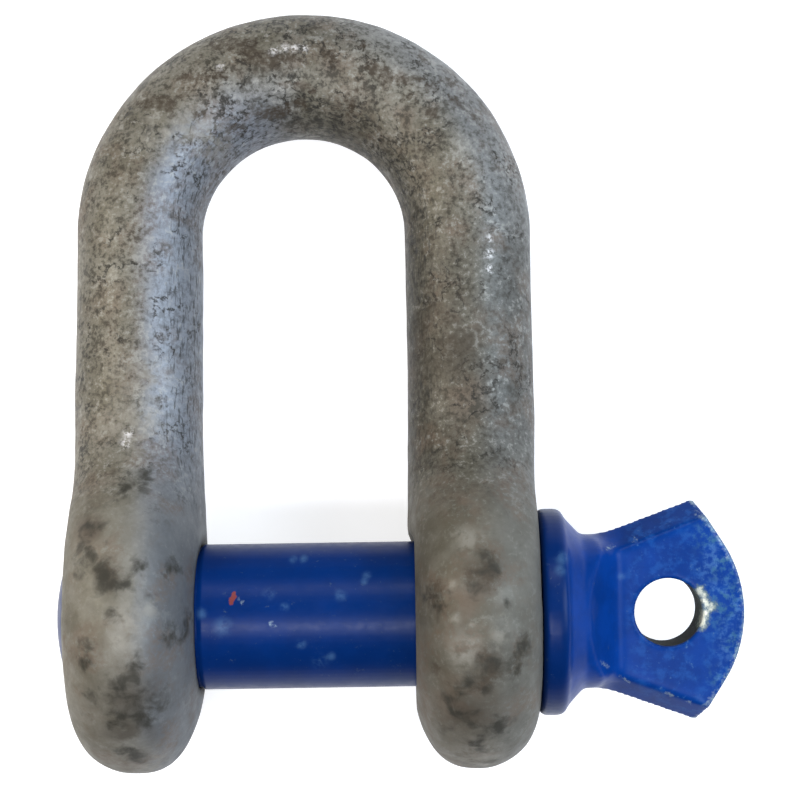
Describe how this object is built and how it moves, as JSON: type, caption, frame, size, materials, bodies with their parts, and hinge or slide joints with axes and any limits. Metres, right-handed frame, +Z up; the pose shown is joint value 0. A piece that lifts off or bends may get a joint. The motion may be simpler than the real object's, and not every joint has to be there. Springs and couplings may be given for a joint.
{
  "type": "screw pin chain shackle",
  "caption": "Galvanised steel dee shackle for joining chain, with a painted screw pin that has a collar and a flattened eye with a tommy bar hole.",
  "frame": {"origin": "on the pin's axis, midway between the inner faces of the ears", "axes": "+X along the pin towards its eye, +Y from the pin towards the crown of the bow, +Z up from the floor that the shackle lies on"},
  "size_m": [0.132, 0.1494, 0.0596],
  "materials": {
    "galvanised_steel": "hot-dip galvanised forging, dull and mottled",
    "blue_paint": "semi-gloss blue paint, chipped at the edges"
  },
  "bodies": {
    "bow": {"dee_body": "galvanised_steel"},
    "pin": {"screw_pin": "blue_paint"}
  },
  "joints": [
    {"name": "pin_slide", "type": "slide", "parent": "bow", "child": "pin", "axis": [1, 0, 0], "range_m": [0, 0.1]}
  ]
}
